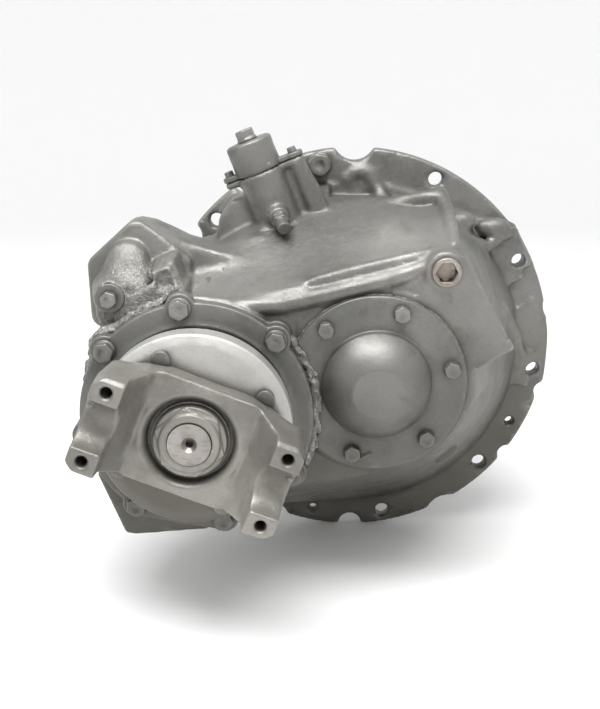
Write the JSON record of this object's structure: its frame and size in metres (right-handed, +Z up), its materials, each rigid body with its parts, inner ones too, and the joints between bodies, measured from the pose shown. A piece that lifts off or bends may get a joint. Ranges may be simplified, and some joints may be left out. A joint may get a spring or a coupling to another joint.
{
  "type": "differential carrier",
  "caption": "Drive-axle carrier with an offset transfer gear train, an inter-axle differential, a bevel final drive, a wheel differential and sliding differential locks.",
  "frame": {"origin": "centre of the mounting flange on its rear, sealing face", "axes": "+Y out of the sealing face towards the axle housing, +X right and +Z up as the object stands in its picture; the input yoke faces -Y"},
  "size_m": [0.5547, 0.6193, 0.518],
  "materials": {
    "casting": "silver-grey paint over rough cast iron, satin",
    "cover_casting": "silver-grey paint over smooth casting, satin",
    "gasket": "squeezed sealing compound, painted over",
    "fastener": "painted bolt heads with worn edges",
    "seal_rubber": "matt black",
    "plug_steel": "worn steel",
    "bearing_steel": "ground, oiled",
    "machined_steel": "turned and ground",
    "spring_steel": "oiled dark wire",
    "gear_steel": "hardened, ground flanks, oiled",
    "deflector_paint": "pale silver paint on pressed sheet",
    "yoke_iron": "brownish grey paint over a forging",
    "case_iron": "machined cast iron, oiled"
  },
  "bodies": {
    "housing": {"carrier_housing": "casting", "pinion_cover": "cover_casting", "cover_gaskets": "gasket", "pinion_cover_bolts": "fastener", "input_cover": "cover_casting", "input_cover_bolts": "fastener", "input_oil_seal": "seal_rubber", "fill_plug": "plug_steel", "flange_bolt": "fastener", "interaxle_lock_cap": "casting", "interaxle_lock_port": "fastener", "input_bearing_cup": "bearing_steel", "output_bearing_cup": "bearing_steel", "pinion_bearing_cups": "bearing_steel", "diff_bearing_cups": "bearing_steel", "bearing_caps": "casting", "bearing_cap_bolts": "fastener", "bearing_adjusters": "machined_steel", "lock_cylinder": "machined_steel", "lock_cylinder_cap": "cover_casting", "lock_cylinder_bolts": "fastener", "lock_stop_screw": "fastener", "lock_switch": "plug_steel", "lock_return_spring": "spring_steel"},
    "upper_gear": {"drop_gear_upper": "gear_steel"},
    "input_line": {"input_yoke": "yoke_iron", "yoke_nut": "fastener", "yoke_washer": "fastener", "dust_deflector": "deflector_paint", "deflector_bolts": "fastener", "input_shaft": "machined_steel", "input_bearing_cone": "bearing_steel"},
    "interaxle_pinion_a": {"interaxle_pinion_1": "gear_steel"},
    "interaxle_pinion_b": {"interaxle_pinion_2": "gear_steel"},
    "interaxle_pinion_c": {"interaxle_pinion_3": "gear_steel"},
    "interaxle_pinion_d": {"interaxle_pinion_4": "gear_steel"},
    "rear_output": {"rear_side_gear": "gear_steel", "output_shaft": "machined_steel", "output_bearing_cone": "bearing_steel"},
    "pinion_line": {"drive_pinion": "gear_steel", "drop_gear_lower": "gear_steel", "pinion_bearing_cones": "bearing_steel", "pinion_nut": "fastener"},
    "case": {"ring_gear": "gear_steel", "diff_case_flanged": "case_iron", "diff_case_plain": "case_iron", "ring_gear_bolts": "fastener", "diff_bearing_cones": "bearing_steel", "diff_spider": "machined_steel"},
    "side_upper": {"side_gear_upper": "gear_steel"},
    "side_lower": {"side_gear_lower": "gear_steel"},
    "diff_pinion_a": {"diff_pinion_1": "gear_steel"},
    "diff_pinion_b": {"diff_pinion_2": "gear_steel"},
    "diff_pinion_c": {"diff_pinion_3": "gear_steel"},
    "diff_pinion_d": {"diff_pinion_4": "gear_steel"},
    "wheel_lock": {"lock_piston_rod": "machined_steel", "lock_fork": "case_iron"},
    "wheel_sleeve": {"lock_sleeve": "machined_steel"},
    "interaxle_lock": {"interaxle_fork": "case_iron"},
    "interaxle_collar": {"interaxle_sleeve": "machined_steel"}
  },
  "joints": [
    {"name": "case_spin", "type": "hinge", "parent": "housing", "child": "case", "pos_m": [0.017, 0.085, 0.012], "axis": [-0.3665, 0, 0.9304], "continuous": true},
    {"name": "pinion_spin", "type": "hinge", "parent": "housing", "child": "pinion_line", "pos_m": [0.017, -0.1, 0.012], "axis": [0, -1, 0], "continuous": true},
    {"name": "upper_gear_spin", "type": "hinge", "parent": "housing", "child": "upper_gear", "pos_m": [-0.17549, -0.15, -0.01918], "axis": [0, -1, 0], "continuous": true},
    {"name": "interaxle_split", "type": "hinge", "parent": "upper_gear", "child": "input_line", "pos_m": [-0.17549, -0.2, -0.01918], "axis": [0, -1, 0], "continuous": true},
    {"name": "rear_output_spin", "type": "hinge", "parent": "input_line", "child": "rear_output", "pos_m": [-0.17549, -0.03, -0.01918], "axis": [0, -1, 0], "continuous": true},
    {"name": "axle_split", "type": "hinge", "parent": "case", "child": "side_upper", "pos_m": [-0.00499, 0.085, 0.06782], "axis": [-0.3665, 0, 0.9304], "continuous": true},
    {"name": "side_lower_spin", "type": "hinge", "parent": "case", "child": "side_lower", "pos_m": [0.03899, 0.085, -0.04383], "axis": [-0.3665, 0, 0.9304], "continuous": true},
    {"name": "interaxle_pinion_a_spin", "type": "hinge", "parent": "input_line", "child": "interaxle_pinion_a", "pos_m": [-0.13854, -0.098, -0.00387], "axis": [0.9239, 0, 0.3827], "continuous": true},
    {"name": "interaxle_pinion_b_spin", "type": "hinge", "parent": "input_line", "child": "interaxle_pinion_b", "pos_m": [-0.1908, -0.098, 0.01778], "axis": [-0.3827, 0, 0.9239], "continuous": true},
    {"name": "interaxle_pinion_c_spin", "type": "hinge", "parent": "input_line", "child": "interaxle_pinion_c", "pos_m": [-0.21245, -0.098, -0.03448], "axis": [-0.9239, 0, -0.3827], "continuous": true},
    {"name": "interaxle_pinion_d_spin", "type": "hinge", "parent": "input_line", "child": "interaxle_pinion_d", "pos_m": [-0.16018, -0.098, -0.05613], "axis": [0.3827, 0, -0.9239], "continuous": true},
    {"name": "diff_pinion_a_spin", "type": "hinge", "parent": "case", "child": "diff_pinion_a", "pos_m": [0.06352, 0.085, 0.03033], "axis": [0.9304, 0, 0.3665], "continuous": true},
    {"name": "diff_pinion_b_spin", "type": "hinge", "parent": "case", "child": "diff_pinion_b", "pos_m": [0.017, 0.135, 0.012], "axis": [0, 1, 0], "continuous": true},
    {"name": "diff_pinion_c_spin", "type": "hinge", "parent": "case", "child": "diff_pinion_c", "pos_m": [-0.02952, 0.085, -0.00632], "axis": [-0.9304, 0, -0.3665], "continuous": true},
    {"name": "diff_pinion_d_spin", "type": "hinge", "parent": "case", "child": "diff_pinion_d", "pos_m": [0.017, 0.035, 0.012], "axis": [0, -1, 0], "continuous": true},
    {"name": "wheel_lock_slide", "type": "slide", "parent": "housing", "child": "wheel_lock", "axis": [0.3665, 0, -0.9304], "range_m": [0, 0.0085]},
    {"name": "wheel_sleeve_slide", "type": "slide", "parent": "side_upper", "child": "wheel_sleeve", "axis": [0.3665, 0, -0.9304], "range_m": [0, 0.0085]},
    {"name": "interaxle_lock_slide", "type": "slide", "parent": "housing", "child": "interaxle_lock", "axis": [0, 1, 0], "range_m": [0, 0.0085]},
    {"name": "interaxle_collar_slide", "type": "slide", "parent": "input_line", "child": "interaxle_collar", "axis": [0, 1, 0], "range_m": [0, 0.0085]}
  ],
  "couplings": [
    {"joint": "pinion_spin", "follows": "case_spin", "ratio": 4.1111},
    {"joint": "upper_gear_spin", "follows": "case_spin", "ratio": -3.9056},
    {"joint": "rear_output_spin", "follows": "interaxle_split", "ratio": 1},
    {"joint": "side_lower_spin", "follows": "axle_split", "ratio": -1},
    {"joint": "interaxle_pinion_a_spin", "follows": "interaxle_split", "ratio": 1.6},
    {"joint": "interaxle_pinion_b_spin", "follows": "interaxle_split", "ratio": 1.6},
    {"joint": "interaxle_pinion_c_spin", "follows": "interaxle_split", "ratio": 1.6},
    {"joint": "interaxle_pinion_d_spin", "follows": "interaxle_split", "ratio": 1.6},
    {"joint": "diff_pinion_a_spin", "follows": "axle_split", "ratio": -1.6},
    {"joint": "diff_pinion_b_spin", "follows": "axle_split", "ratio": -1.6},
    {"joint": "diff_pinion_c_spin", "follows": "axle_split", "ratio": -1.6},
    {"joint": "diff_pinion_d_spin", "follows": "axle_split", "ratio": -1.6},
    {"joint": "wheel_sleeve_slide", "follows": "wheel_lock_slide", "ratio": 1},
    {"joint": "interaxle_collar_slide", "follows": "interaxle_lock_slide", "ratio": 1}
  ]
}
